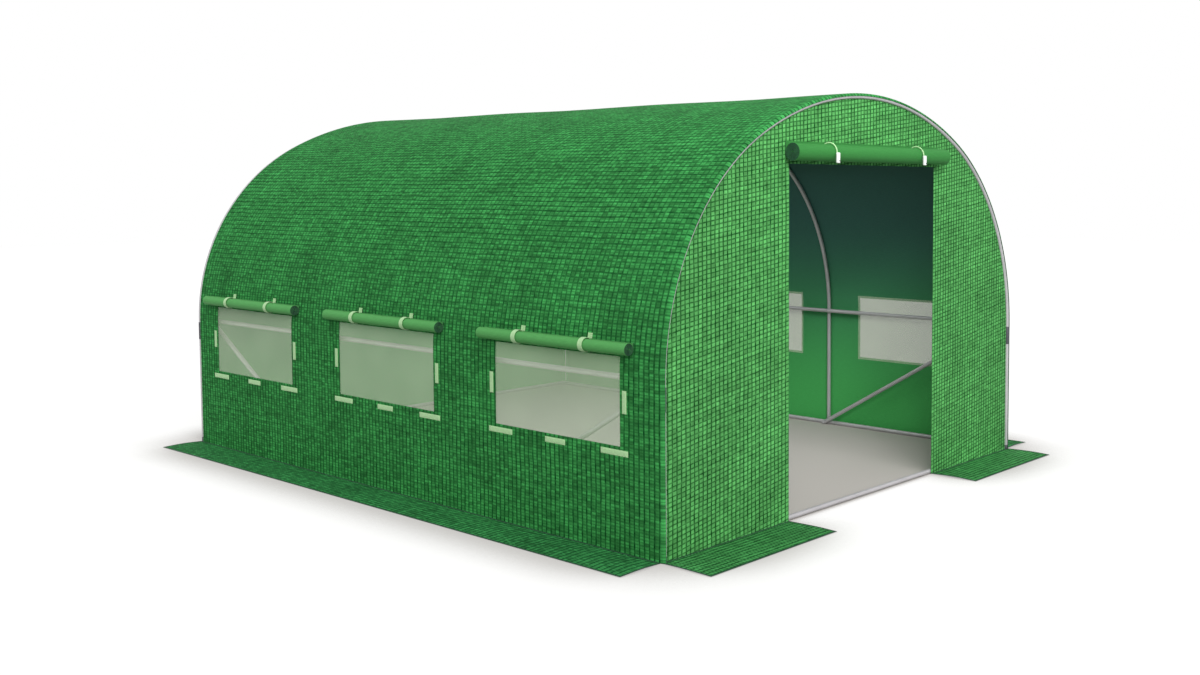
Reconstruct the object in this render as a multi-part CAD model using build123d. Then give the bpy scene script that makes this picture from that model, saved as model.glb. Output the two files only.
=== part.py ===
"""Walk-in polytunnel greenhouse: four steel hoops under a cover of woven film.

Millimetres. X runs across the tunnel, Y along it from the door end (-Y) to the
back, Z up. The origin is on the ground at the middle of the footprint.
"""

import os
from math import acos, cos, degrees, radians, sin, sqrt

from build123d import *

# ---------------------------------------------------------------- sizes
# Tunnel, measured over the cover
WIDTH = 3000
HEIGHT = 2050
LENGTH = 4000  # over the two end hoops
LEG_HEIGHT = 760  # straight foot of each hoop, up to the bend
CROWN_HALF_ANGLE = 28  # degrees of the flatter top arc, each side of the ridge
BAYS = 3  # with one window a side in each

# Frame and cover stock
TUBE = 25  # outer diameter of every frame tube
FILM = 3  # cover, thicker than the real film
SEAT = 0.3  # clearance between pieces that bear on each other

# Cover
WALL_HEIGHT = 1000  # where the side walls give way to the roof
SIDE_SKIRT = 240
END_SKIRT = 280
BACK_SKIRT_INSET = 150  # the back skirt stops short of the corners

# Doorway and its rolled-up flap
DOOR_WIDTH = 1270
DOOR_HEAD = 360  # front wall left over the doorway, up to the ridge
DOOR_ROLL = 88  # diameter
DOOR_ROLL_OVERHANG = 33  # past each side of the doorway
DOOR_ROLL_LIFT = 11  # above the doorway
DOOR_TIE = 5  # diameter of the elastic loop
DOOR_TIE_SPACING = 770
TOGGLE_DIAMETER = 20
TOGGLE_LENGTH = 50

# Windows and their rolled-up covers
WINDOW_WIDTH = 840
WINDOW_HEIGHT = 390
WINDOW_SILL = 465
PANE = 1.5  # thickness of the clear film behind a window
PANE_LAP = 42  # sewn to the inside of the cover, past each side of the window
WINDOW_ROLL = 60  # diameter
WINDOW_ROLL_OVERHANG = 80  # past each side of the window
WINDOW_ROLL_LIFT = 10  # above the window
STRAP_SPACING = 452
STRAP_WIDTH = 20
STRAP_TAIL = 36  # stitched end of a strap, above the roll
WEBBING = 2  # thickness of straps and tabs
TAB_WIDTH = 26
TAB_GAP = 15  # between a window and its tabs
CORNER_TAB = 170
CORNER_TAB_OVERHANG = 50  # past the side of the window
MIDDLE_TAB = 135
SIDE_TAB = 100

# ---------------------------------------------------------------- places
# A hoop is a shoulder arc each side and a flatter crown arc, all tangent.
RISE = HEIGHT - LEG_HEIGHT
CROWN = radians(CROWN_HALF_ANGLE)
RADIUS_STEP = (WIDTH / 2 - RISE) / (sin(CROWN) + cos(CROWN) - 1)
SHOULDER_RADIUS = WIDTH / 2 - RADIUS_STEP * sin(CROWN)
CROWN_RADIUS = SHOULDER_RADIUS + RADIUS_STEP
SHOULDER_X = WIDTH / 2 - SHOULDER_RADIUS
CROWN_EDGE = CROWN_RADIUS * sin(CROWN)

# Inwards from the cover: hoops, then long tubes, then braces, each on the one before.
TUBE_PITCH = TUBE + SEAT
HOOP_INSET = FILM + SEAT + TUBE / 2
HOOP_X = WIDTH / 2 - HOOP_INSET
RAIL_X = HOOP_X - TUBE_PITCH
BRACE_X = RAIL_X - TUBE_PITCH
END_WALL_INSET = HOOP_INSET + TUBE / 2 + SEAT

FRONT_Y = -(LENGTH - TUBE) / 2
BACK_Y = -FRONT_Y
BAY = (BACK_Y - FRONT_Y) / BAYS
HOOP_YS = [FRONT_Y + BAY * i for i in range(BAYS + 1)]
WINDOW_YS = [FRONT_Y + BAY * (i + 0.5) for i in range(BAYS)]
END_WALL_FACE = BACK_Y + FILM / 2  # outer face of an end wall
RAIL_END = BACK_Y - FILM / 2 - SEAT
CROSS_TUBE_Y = RAIL_END - TUBE / 2

DOOR_HEIGHT = HEIGHT - DOOR_HEAD
DOOR_ROLL_Y = -END_WALL_FACE - SEAT - DOOR_ROLL / 2
DOOR_ROLL_Z = DOOR_HEIGHT + DOOR_ROLL_LIFT + DOOR_ROLL / 2
DOOR_TIE_XS = (-DOOR_TIE_SPACING / 2, DOOR_TIE_SPACING / 2)

WINDOW_TOP = WINDOW_SILL + WINDOW_HEIGHT
WINDOW_ROLL_Z = WINDOW_TOP + WINDOW_ROLL_LIFT + WINDOW_ROLL / 2


# ---------------------------------------------------------------- helpers
def box(x, y, z):
    """A block between the low and the high value of each axis."""
    size = [high - low for low, high in (x, y, z)]
    middle = [(low + high) / 2 for low, high in (x, y, z)]
    return Pos(*middle) * Box(*size)


def rod(start, end, diameter):
    """A round bar from one point to the other."""
    line = Edge.make_line(start, end)
    return sweep(Plane(start, z_dir=line % 0) * Circle(diameter / 2), line)


def arch_edges(inset):
    """The three arcs of a hoop, left to right, that far inside the cover's face."""
    half = CROWN_HALF_ANGLE
    shoulder = SHOULDER_RADIUS - inset
    left = CenterArc((-SHOULDER_X, LEG_HEIGHT), shoulder, 180, half - 90)
    crown = CenterArc((0, HEIGHT - CROWN_RADIUS), CROWN_RADIUS - inset, 90 + half, -2 * half)
    right = CenterArc((SHOULDER_X, LEG_HEIGHT), shoulder, 90 - half, half - 90)
    return [left, crown, right]


def outline(inset):
    """The tunnel's cross-section, standing in the XZ plane."""
    half = WIDTH / 2 - inset
    left_leg = Line((-half, 0), (-half, LEG_HEIGHT))
    right_leg = Line((half, LEG_HEIGHT), (half, 0))
    ground = Line((half, 0), (-half, 0))
    return Plane.XZ * make_face([left_leg, *arch_edges(inset), right_leg, ground])


def along(section, y):
    """A cross-section made solid between two places along the tunnel."""
    low, high = y
    return Pos(0, high, 0) * extrude(section, high - low)


def layer(inset, thickness, y):
    """A skin that follows the cover from the ground over the roof to the ground."""
    return along(outline(inset) - outline(inset + thickness), y)


def wall_x(z, standoff):
    """X of a point that far outside the left wall, at a height."""
    if z <= LEG_HEIGHT:
        return -WIDTH / 2 - standoff
    reach = SHOULDER_RADIUS + standoff
    return -SHOULDER_X - sqrt(reach**2 - (z - LEG_HEIGHT) ** 2)


# ---------------------------------------------------------------- frame
def left_legs():
    """The four straight feet on the left side."""
    return [rod((-HOOP_X, y, 0), (-HOOP_X, y, LEG_HEIGHT), TUBE) for y in HOOP_YS]


def arch(y):
    """The bent upper part of a hoop, standing on its two legs."""
    path = Pos(0, y, 0) * (Plane.XZ * Wire(arch_edges(HOOP_INSET)))
    foot = Plane((-HOOP_X, y, LEG_HEIGHT), z_dir=(0, 0, 1))
    return sweep(foot * Circle(TUBE / 2), path)


def long_tube(x, z):
    """A tube from one end wall to the other."""
    return rod((x, -RAIL_END, z), (x, RAIL_END, z), TUBE)


def cross_tube(y):
    """A tube on the ground between the two ground rails."""
    reach = RAIL_X - TUBE / 2 - SEAT
    return rod((-reach, y, TUBE / 2), (reach, y, TUBE / 2), TUBE)


def left_braces():
    """A diagonal in each end bay, from an inner hoop's foot up to the end hoop."""
    tops = ((HOOP_YS[1], FRONT_Y + TUBE), (HOOP_YS[-2], BACK_Y - TUBE))
    return [rod((-BRACE_X, foot, TUBE / 2), (-BRACE_X, top, LEG_HEIGHT), TUBE) for foot, top in tops]


# ---------------------------------------------------------------- cover
def cover_piece(x, z):
    """The part of the cover between two sides and two heights."""
    return layer(0, FILM, (FRONT_Y, BACK_Y)) & box(x, (-LENGTH, LENGTH), z)


def window_block(y, margin):
    """The space of a left-hand window, that much larger on each side."""
    half = WINDOW_WIDTH / 2 + margin
    return box((-WIDTH, 0), (y - half, y + half), (WINDOW_SILL - margin, WINDOW_TOP + margin))


def left_wall():
    wall = cover_piece((-WIDTH, 0), (0, WALL_HEIGHT))
    for y in WINDOW_YS:
        wall -= window_block(y, 0)
    return wall


def roof_left():
    return cover_piece((-WIDTH, -CROWN_EDGE), (WALL_HEIGHT, HEIGHT))


def roof_crown():
    return cover_piece((-CROWN_EDGE, CROWN_EDGE), (WALL_HEIGHT, HEIGHT))


def end_wall(y):
    """A whole end wall, inside its hoop."""
    return along(outline(END_WALL_INSET), (y - FILM / 2, y + FILM / 2))


def front_left_panel():
    beside_door = box((-WIDTH, -DOOR_WIDTH / 2), (-LENGTH, 0), (0, HEIGHT))
    return end_wall(FRONT_Y) & beside_door


def front_over_door():
    over_door = box((-DOOR_WIDTH / 2, DOOR_WIDTH / 2), (-LENGTH, 0), (DOOR_HEIGHT, HEIGHT))
    return end_wall(FRONT_Y) & over_door


def left_skirt():
    """The strip of cover that lies on the ground along the side."""
    return box((-WIDTH / 2 - SIDE_SKIRT, -WIDTH / 2), (FRONT_Y, BACK_Y), (0, FILM))


def end_skirt(x):
    """A strip on the ground before the front wall, clear of the hoop's legs."""
    strip = box(x, (-END_WALL_FACE - END_SKIRT, -END_WALL_FACE), (0, FILM))
    for leg in (-HOOP_X, HOOP_X):
        strip -= Pos(leg, FRONT_Y, 0) * Cylinder(TUBE / 2 + SEAT, TUBE)
    return strip


def front_left_skirt():
    return end_skirt((-WIDTH / 2, -DOOR_WIDTH / 2))


def back_skirt():
    reach = WIDTH / 2 - BACK_SKIRT_INSET
    return mirror(end_skirt((-reach, reach)), about=Plane.XZ)


# ---------------------------------------------------------------- door
def door_roll():
    """The door flap, rolled up from below and held over the doorway."""
    reach = DOOR_WIDTH / 2 + DOOR_ROLL_OVERHANG
    return rod((-reach, DOOR_ROLL_Y, DOOR_ROLL_Z), (reach, DOOR_ROLL_Y, DOOR_ROLL_Z), DOOR_ROLL)


def door_tie(x):
    """An elastic loop from the front wall, over the roll to the front of it."""
    radius = DOOR_ROLL / 2 + SEAT + DOOR_TIE / 2
    off_wall = degrees(acos((DOOR_ROLL - DOOR_TIE) / 2 / radius))
    across_roll = Plane((x, DOOR_ROLL_Y, DOOR_ROLL_Z), x_dir=(0, 1, 0), z_dir=(1, 0, 0))
    path = across_roll * CenterArc((0, 0), radius, 180, off_wall - 180)
    return sweep(Plane(path @ 0, z_dir=path % 0) * Circle(DOOR_TIE / 2), path)


def door_toggle(x):
    """The barrel at the end of a loop, hanging against the roll."""
    y = DOOR_ROLL_Y - (DOOR_ROLL + TOGGLE_DIAMETER) / 2 - SEAT
    return rod((x, y, DOOR_ROLL_Z - TOGGLE_LENGTH), (x, y, DOOR_ROLL_Z), TOGGLE_DIAMETER)


# ---------------------------------------------------------------- windows
def left_windows():
    """The panes, sewn to the inside of the left wall."""
    film = layer(FILM + SEAT, PANE, (FRONT_Y, BACK_Y))
    return [film & window_block(y, PANE_LAP) for y in WINDOW_YS]


def left_window_rolls():
    """The window covers, rolled up and held over the windows."""
    x = wall_x(WINDOW_ROLL_Z, SEAT + WINDOW_ROLL / 2)
    reach = WINDOW_WIDTH / 2 + WINDOW_ROLL_OVERHANG
    ends = [((x, y - reach, WINDOW_ROLL_Z), (x, y + reach, WINDOW_ROLL_Z)) for y in WINDOW_YS]
    return [rod(start, end, WINDOW_ROLL) for start, end in ends]


def webbing(y, z):
    """A flat strip of webbing on the left wall."""
    return layer(-SEAT - WEBBING, WEBBING, y) & box((-WIDTH, 0), (-LENGTH, LENGTH), z)


def roll_strap(middle):
    """A strap round the front of a roll, with its stitched end on the wall above."""
    inner = WINDOW_ROLL / 2 + SEAT
    outer = inner + WEBBING
    y = (middle - STRAP_WIDTH / 2, middle + STRAP_WIDTH / 2)
    ring = Plane.XZ * (Circle(outer) - Circle(inner))
    loop = Pos(wall_x(WINDOW_ROLL_Z, inner), 0, WINDOW_ROLL_Z) * along(ring, y)
    tail = WINDOW_ROLL_Z + sqrt(outer**2 - (WINDOW_ROLL / 2) ** 2)
    loop += webbing(y, (tail, tail + STRAP_TAIL))
    return loop - along(outline(-SEAT), y)


def left_roll_straps():
    half = STRAP_SPACING / 2
    return [roll_strap(y + side) for y in WINDOW_YS for side in (-half, half)]


def window_tabs(y):
    """The five tabs round a window: three below it and one at each side."""
    corner = WINDOW_WIDTH / 2 + CORNER_TAB_OVERHANG
    side = WINDOW_WIDTH / 2 + TAB_GAP
    below = (WINDOW_SILL - TAB_GAP - TAB_WIDTH, WINDOW_SILL - TAB_GAP)
    middle = WINDOW_SILL + WINDOW_HEIGHT / 2
    beside = (middle - SIDE_TAB / 2, middle + SIDE_TAB / 2)
    places = [
        ((-corner, CORNER_TAB - corner), below),
        ((-MIDDLE_TAB / 2, MIDDLE_TAB / 2), below),
        ((corner - CORNER_TAB, corner), below),
        ((-side - TAB_WIDTH, -side), beside),
        ((side, side + TAB_WIDTH), beside),
    ]
    return [webbing((y + low, y + high), z) for (low, high), z in places]


def left_window_tabs():
    return [tab for y in WINDOW_YS for tab in window_tabs(y)]


# ---------------------------------------------------------------- nodes
def middle_nodes():
    """The nodes that stand across the middle of the tunnel."""
    return {
        "front_arch": arch(HOOP_YS[0]),
        "front_inner_arch": arch(HOOP_YS[1]),
        "back_inner_arch": arch(HOOP_YS[-2]),
        "back_arch": arch(HOOP_YS[-1]),
        "ridge_purlin": long_tube(0, HEIGHT - HOOP_INSET - TUBE_PITCH),
        "front_threshold": cross_tube(-CROSS_TUBE_Y),
        "back_ground_tube": cross_tube(CROSS_TUBE_Y),
        "roof_crown": roof_crown(),
        "front_over_door": front_over_door(),
        "back_wall": end_wall(BACK_Y),
        "back_skirt": back_skirt(),
        "door_roll": door_roll(),
        "door_ties": [door_tie(x) for x in DOOR_TIE_XS],
        "door_toggles": [door_toggle(x) for x in DOOR_TIE_XS],
    }


def left_nodes():
    """The nodes on the left, each of which has a twin on the right."""
    return {
        "left_legs": left_legs(),
        "left_purlin": long_tube(-RAIL_X, LEG_HEIGHT),
        "left_ground_rail": long_tube(-RAIL_X, TUBE / 2),
        "left_braces": left_braces(),
        "left_wall": left_wall(),
        "roof_left": roof_left(),
        "left_skirt": left_skirt(),
        "front_left_panel": front_left_panel(),
        "front_left_skirt": front_left_skirt(),
        "left_windows": left_windows(),
        "left_window_rolls": left_window_rolls(),
        "left_roll_straps": left_roll_straps(),
        "left_window_tabs": left_window_tabs(),
    }


def write(name, piece):
    """One STEP file for a node, which may hold several solids."""
    solid = Compound(piece) if isinstance(piece, list) else piece
    export_step(solid, f"parts/{name}.step")
    return solid


os.makedirs("parts", exist_ok=True)
for name, piece in middle_nodes().items():
    write(name, piece)
for name, piece in left_nodes().items():
    left = write(name, piece)
    write(name.replace("left", "right"), mirror(left, about=Plane.YZ))
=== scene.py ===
"""Polytunnel greenhouse: woven film, rolled covers, webbing and fittings on a frame of steel hoops."""

from math import acos, atan2, cos, hypot, pi, radians, sin, sqrt

import bmesh
import bpy
from bpy.props import FloatProperty, FloatVectorProperty, PointerProperty
from mathutils import Matrix, Vector


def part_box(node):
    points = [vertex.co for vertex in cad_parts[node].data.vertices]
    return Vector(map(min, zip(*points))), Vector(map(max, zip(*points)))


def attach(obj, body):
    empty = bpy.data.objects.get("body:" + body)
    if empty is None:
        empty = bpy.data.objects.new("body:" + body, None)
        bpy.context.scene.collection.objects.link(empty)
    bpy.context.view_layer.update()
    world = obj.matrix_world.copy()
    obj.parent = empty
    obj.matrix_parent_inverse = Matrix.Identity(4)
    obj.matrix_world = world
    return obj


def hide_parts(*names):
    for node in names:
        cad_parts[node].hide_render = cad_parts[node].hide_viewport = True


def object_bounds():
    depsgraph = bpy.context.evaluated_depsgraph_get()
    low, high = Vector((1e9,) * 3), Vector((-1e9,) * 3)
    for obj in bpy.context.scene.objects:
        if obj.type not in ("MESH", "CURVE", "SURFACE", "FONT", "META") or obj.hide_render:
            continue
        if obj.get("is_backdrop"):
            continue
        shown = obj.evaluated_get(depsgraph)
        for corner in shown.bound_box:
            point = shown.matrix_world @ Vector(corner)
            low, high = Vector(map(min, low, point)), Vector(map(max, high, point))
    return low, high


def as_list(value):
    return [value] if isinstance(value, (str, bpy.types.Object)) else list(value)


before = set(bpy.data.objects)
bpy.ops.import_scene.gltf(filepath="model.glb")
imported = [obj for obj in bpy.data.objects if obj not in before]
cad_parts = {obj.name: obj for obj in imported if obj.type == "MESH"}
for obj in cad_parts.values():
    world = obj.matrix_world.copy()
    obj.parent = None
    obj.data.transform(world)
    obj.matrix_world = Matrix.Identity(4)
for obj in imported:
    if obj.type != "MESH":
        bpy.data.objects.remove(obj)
CAD_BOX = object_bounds()

bl_info = {
    "name": "Polytunnel Greenhouse",
    "blender": (4, 5, 0),
    "version": (1, 0, 0),
    "location": "3D View > Sidebar > Polytunnel",
    "description": "Dresses a steel hoop frame with woven film, rolled covers, webbing and fittings",
    "category": "Add Mesh",
}

# ---------------- places, from the frame
# Which CAD nodes are hoops, steel tube, cover and skirts
STEEL_WORDS = ("legs", "arch", "purlin", "rail", "tube", "threshold", "braces")
STEEL_NODES = [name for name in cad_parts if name.endswith(STEEL_WORDS)]
COVER_NODES = ("left_wall", "right_wall", "roof_left", "roof_right", "roof_crown")
SKIRT_NODES = ("left_skirt", "right_skirt", "front_left_skirt", "front_right_skirt", "back_skirt")

X_AXIS, Y_AXIS, Z_AXIS = Vector((1, 0, 0)), Vector((0, 1, 0)), Vector((0, 0, 1))
SIDES = {"left": -1, "right": 1}
CUT_MAP = "flat_cut"  # UV map in metres of the flat film
NEAR = 1e-5  # places closer than this are the same
GAP = 0.0003  # keeps pieces that touch from sharing a face
BAYS = 3

WALL_LOW, WALL_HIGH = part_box("left_wall")
FRONT_Y, BACK_Y = WALL_LOW.y, WALL_HIGH.y
BAY = (BACK_Y - FRONT_Y) / BAYS
HOOP_YS = [FRONT_Y + BAY * i for i in range(BAYS + 1)]
WINDOW_YS = [FRONT_Y + BAY * (i + 0.5) for i in range(BAYS)]
HALF_WIDTH = -WALL_LOW.x
LEG_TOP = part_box("left_legs")[1].z
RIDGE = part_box("roof_crown")[1].z
CROWN = radians(28)  # half of the flatter top arc
SHOULDER = pi / 2 - CROWN

HOOP_LOW, HOOP_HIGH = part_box("front_arch")
TUBE_RADIUS = (HOOP_HIGH.y - HOOP_LOW.y) / 2
HOOP_X = HOOP_HIGH.x - TUBE_RADIUS
RAIL_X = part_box("right_purlin")[1].x - TUBE_RADIUS
BRACE_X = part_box("right_braces")[1].x - TUBE_RADIUS
RIDGE_PURLIN_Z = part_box("ridge_purlin")[0].z

RADIUS_STEP = (HALF_WIDTH - RIDGE + LEG_TOP) / (sin(CROWN) + cos(CROWN) - 1)
SHOULDER_RADIUS = HALF_WIDTH - RADIUS_STEP * sin(CROWN)
SHOULDER_X = HALF_WIDTH - SHOULDER_RADIUS
CROWN_RADIUS = SHOULDER_RADIUS + RADIUS_STEP
CROWN_Z = RIDGE - CROWN_RADIUS
HALF_GIRTH = LEG_TOP + SHOULDER_RADIUS * SHOULDER + CROWN_RADIUS * CROWN
ROOF_Z = 1.5  # the weave looks like the roof's from here up

PANE_LOW, PANE_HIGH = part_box("left_windows")
SEAT = 0.042  # how far the frame's panes reach past their openings
SILL, LINTEL = PANE_LOW.z + SEAT, PANE_HIGH.z - SEAT
WINDOW_HALF = PANE_HIGH.y - WINDOW_YS[-1] - SEAT
DOOR_LOW, DOOR_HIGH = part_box("front_over_door")
DOOR_X, DOOR_TOP = DOOR_HIGH.x, DOOR_LOW.z


# ---------------- settings
def number(name, description, default, **options):
    return FloatProperty(name=name, description=description, default=default, min=0, **options)


def length(name, description, default):
    return number(name, description, default, unit="LENGTH", precision=4)


def colour(name, description, default):
    return FloatVectorProperty(
        name=name, description=description, default=default, subtype="COLOR", size=3, min=0, max=1
    )


class FilmSettings(bpy.types.PropertyGroup):
    """The woven film of the cover, end walls, skirts and rolls."""

    thickness: length("Thickness", "Thickness of the woven film", 0.0012)
    cover_cell: length("Cover cell", "Length of a cell in the cover's weave", 0.030)
    cover_row: length("Cover row", "Height of a cell in the cover's weave", 0.0138)
    end_cell: length("End cell", "Width of a cell in the end walls' weave", 0.0275)
    end_row: length("End row", "Height of a cell in the end walls' weave", 0.0205)
    skew: number("Skew", "Rise of the end walls' rows, per metre across", 0.14)
    sag: length("Sag", "How far the roof dips between two hoops", 0.003)
    back_hoop_bare: length("Back hoop bare", "From the cover's end to the back hoop's middle", 0.022)
    hem: length("Hem", "Width of the folded edge of a skirt", 0.009)
    cover_light: colour("Cover squares", "Light squares of the cover", (0.043, 0.278, 0.067))
    cover_line: colour("Cover threads", "Dark threads of the cover", (0.002, 0.058, 0.012))
    end_light: colour("End wall squares", "Light squares of the end walls", (0.108, 0.415, 0.114))
    end_line: colour("End wall threads", "Dark threads of the end walls", (0.002, 0.055, 0.008))
    # The skirt colours are darker copies of the cover's and the end walls' film colours: painted shade on the
    # strips lying on the ground.
    skirt_light: colour("Skirt squares", "Light squares of the skirts", (0.042, 0.245, 0.070))
    skirt_line: colour("Skirt threads", "Dark threads of the skirts", (0.002, 0.050, 0.014))
    end_skirt_light: colour("End skirt squares", "Light squares of the end skirts", (0.068, 0.310, 0.088))
    end_skirt_line: colour("End skirt threads", "Dark threads of the end skirts", (0.002, 0.042, 0.010))
    # The inner face's two colours are painted light and shade: lit near the ground, shaded under the ridge.
    inside_painted_lit_low: colour("Inside, low", "Inner face of the film near the ground", (0.062, 0.390, 0.096))
    inside_painted_shade_high: colour("Inside, high", "Inner face of the film under the ridge", (0.042, 0.130, 0.110))
    rolled: colour("Window rolls", "Back of the film, seen on the window rolls", (0.088, 0.345, 0.094))
    # The door roll's colour is a darker copy of the window rolls' film colour: painted shade that offsets the
    # lamps on the doorway.
    door_rolled: colour("Door roll", "Back of the film, seen on the door roll", (0.036, 0.214, 0.044))
    # The dark edge colour is partly the film's own edge and partly painted shade: it also covers the skirts'
    # hems and darkens the roll ends.
    edge: colour("Cut edge", "Raw edge of the film", (0.012, 0.062, 0.028))


class WindowSettings(bpy.types.PropertyGroup):
    """The clear panes, and the rolled covers over them."""

    pane: length("Pane", "Thickness of the clear film", 0.0006)
    lap: length("Lap", "How far a pane reaches past its opening", 0.014)
    cover_length: length("Cover length", "Height of a window cover before it is rolled up", 0.48)
    pane_colour: colour("Pane colour", "Milky clear film", (0.79, 0.94, 0.69))
    pane_cover: number("Milkiness", "Share of the light that a pane stops", 0.24, max=1, subtype="FACTOR")


class TrimSettings(bpy.types.PropertyGroup):
    """Straps, tabs, ties and toggles."""

    webbing: length("Webbing", "Thickness of straps and tabs", 0.0018)
    corner_tab: length("Corner tab", "Length of a tab at a window's corner", 0.170)
    corner_overhang: length("Corner overhang", "How far it passes the window's side", 0.050)
    middle_tab: length("Middle tab", "Length of the tab under the middle", 0.135)
    side_tab: length("Side tab", "Height of a tab beside a window", 0.100)
    tab_width: length("Tab width", "Width of every tab", 0.026)
    tab_gap: length("Tab gap", "From a window's side to the tab beside it", 0.015)
    strap_width: length("Strap width", "Width of a strap round a roll", 0.028)
    strap_spacing: length("Strap spacing", "From one strap of a roll to the other", 0.452)
    cord_radius: length("Cord radius", "Radius of a door tie", 0.0035)
    stitch: length("Stitch", "Length of one stitch", 0.0034)
    webbing_colour: colour("Webbing colour", "Pale green webbing", (0.46, 0.75, 0.38))
    thread_colour: colour("Thread colour", "Sewing thread", (0.62, 0.82, 0.55))
    toggle_colour: colour("Toggle colour", "Moulded toggles", (0.90, 0.92, 0.90))


class FittingSettings(bpy.types.PropertyGroup):
    """Steel tubes, and the sleeves, feet and nuts on them."""

    sleeve_radius: length("Sleeve radius", "Outer radius of the sleeve at a leg's top", 0.0142)
    sleeve_length: length("Sleeve length", "Height of the sleeve at a leg's top", 0.105)
    foot_height: length("Foot height", "Height of the cap at a leg's foot", 0.028)
    nut_radius: length("Nut radius", "Half of a nut's width over its corners", 0.0085)
    steel: colour("Steel", "Galvanised tube", (0.50, 0.49, 0.505))
    # The dark plastic also lines the toggles' holes, as painted shade there.
    plastic: colour("Dark plastic", "Sleeves and feet", (0.075, 0.075, 0.090))


class StageSettings(bpy.types.PropertyGroup):
    """Floor, light and camera."""

    floor_colour: colour("Floor", "Plain pale floor", (0.36, 0.355, 0.35))
    floor_shade: colour("Floor shade", "Floor close to the skirts", (0.23, 0.205, 0.185))
    floor_inside: colour("Floor inside", "Floor in the tunnel", (0.49, 0.467, 0.435))
    glow: number("Glow", "Light added to open floor, to make it white", 0.72)
    sky: number("Sky", "Strength of the even light", 0.65)
    key: number("Key", "Strength of the main lamp", 1.95)
    door_light: number("Door light", "Power of the lamp before the doorway", 190)
    top_light: number("Top light", "Power of the lamp on the front arch", 680)
    fill: number("Fill", "Power of the lamp under the ridge", 22)
    lens: number("Lens", "Focal length", 37.29, subtype="DISTANCE_CAMERA")


SETTINGS = {
    "tunnel_film": FilmSettings,
    "tunnel_windows": WindowSettings,
    "tunnel_trim": TrimSettings,
    "tunnel_fittings": FittingSettings,
    "tunnel_stage": StageSettings,
}


# ---------------- modelling
def choose(*pieces):
    """Selects whole pieces, the first one active."""
    bpy.ops.object.select_all(action="DESELECT")
    for piece in pieces:
        piece.select_set(True)
    bpy.context.view_layer.objects.active = pieces[0] if pieces else None


def pick_all():
    bpy.ops.mesh.select_all(action="SELECT")


def lone(kind, name, stretch=(1, 1, 1), **where):
    """Adds a primitive, alone in the selection, stretches it and opens it for editing."""
    choose()
    getattr(bpy.ops.mesh, f"primitive_{kind}_add")(**where)
    piece = bpy.context.object
    piece.name = piece.data.name = name
    piece.scale = stretch
    bpy.ops.object.transform_apply(location=True, rotation=True, scale=True)
    bpy.ops.object.mode_set(mode="EDIT")
    bpy.ops.mesh.select_mode(type="VERT")
    pick_all()
    return piece


def lone_grid(name, columns, rows, size, **where):
    """A flat sheet of that size along X and Y, in columns and rows."""
    return lone("grid", name, (*size, 1), size=1, x_subdivisions=columns, y_subdivisions=rows, **where)


def lone_point(name, place):
    """One selected vertex at a place, to extrude a line from."""
    piece = lone("plane", name, size=0.01, location=place)
    bpy.ops.mesh.merge(type="CENTER")
    return piece


def pick(piece, test, kind="VERT"):
    """Selects the vertices, edges or faces whose middle passes the test."""
    bpy.ops.mesh.select_mode(type=kind)
    bpy.ops.mesh.select_all(action="DESELECT")
    shape = bmesh.from_edit_mesh(piece.data)
    for part in {"VERT": shape.verts, "EDGE": shape.edges, "FACE": shape.faces}[kind]:
        corners = [part.co] if kind == "VERT" else [corner.co for corner in part.verts]
        if test(sum(corners, Vector()) / len(corners)):
            part.select_set(True)
    shape.select_flush_mode()
    bmesh.update_edit_mesh(piece.data)


def grow(step, times=1):
    """Extrudes the selection by a step, several times."""
    for _ in range(times):
        bpy.ops.mesh.extrude_region_move(TRANSFORM_OT_translate={"value": step})


def turn(angle, centre, axis, steps):
    """Extrudes the selection round an axis, right-handed."""
    bpy.ops.mesh.spin(
        steps=steps, dupli=False, angle=-angle, use_auto_merge=False, center=centre, axis=axis
    )


def cut(axis, *levels):
    """Cuts the whole open mesh across an axis at each level."""
    for level in levels:
        pick_all()
        bpy.ops.mesh.bisect(plane_co=level * axis, plane_no=axis)


def soften_edges(offset, segments=1):
    """Bevels the edges of what is selected."""
    bpy.ops.mesh.bevel(offset=offset, segments=segments, affect="EDGES")


def carve(piece, test):
    """Deletes the faces whose middle passes the test."""
    pick(piece, test, "FACE")
    bpy.ops.mesh.delete(type="FACE")


def close(piece, outward=None):
    """Leaves edit mode with doubles merged and, on an open sheet, faces turned to a side."""
    pick_all()
    bpy.ops.mesh.remove_doubles(threshold=1e-6)
    bpy.ops.mesh.normals_make_consistent(inside=False)
    bpy.ops.object.mode_set(mode="OBJECT")
    if outward and sum(outward(f.center).dot(f.normal) * f.area for f in piece.data.polygons) < 0:
        piece.data.flip_normals()


def modify(piece, kind, **settings):
    """Adds a modifier and applies it."""
    choose(piece)
    modifier = piece.modifiers.new(kind.lower(), kind)
    for name, value in settings.items():
        setattr(modifier, name, value)
    bpy.ops.object.modifier_apply(modifier=modifier.name)


def smooth(piece, angle=35):
    choose(piece)
    bpy.ops.object.shade_smooth_by_angle(angle=radians(angle))


def displace(piece, weight, **settings):
    """Moves each vertex by a share that comes from its place."""
    group = piece.vertex_groups.new(name="share")
    for vertex in piece.data.vertices:
        group.add([vertex.index], weight(vertex.co), "REPLACE")
    modify(piece, "DISPLACE", vertex_group=group.name, **settings)


def ripple(piece, weight, size, height, direction="NORMAL", mid=0.5):
    """Soft creases of that size and height, as strong as the weight lets them be."""
    texture = bpy.data.textures.new(f"{piece.name}_creases", "CLOUDS")
    texture.noise_scale = size
    displace(piece, weight, texture=texture, direction=direction, strength=height, mid_level=mid)


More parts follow.
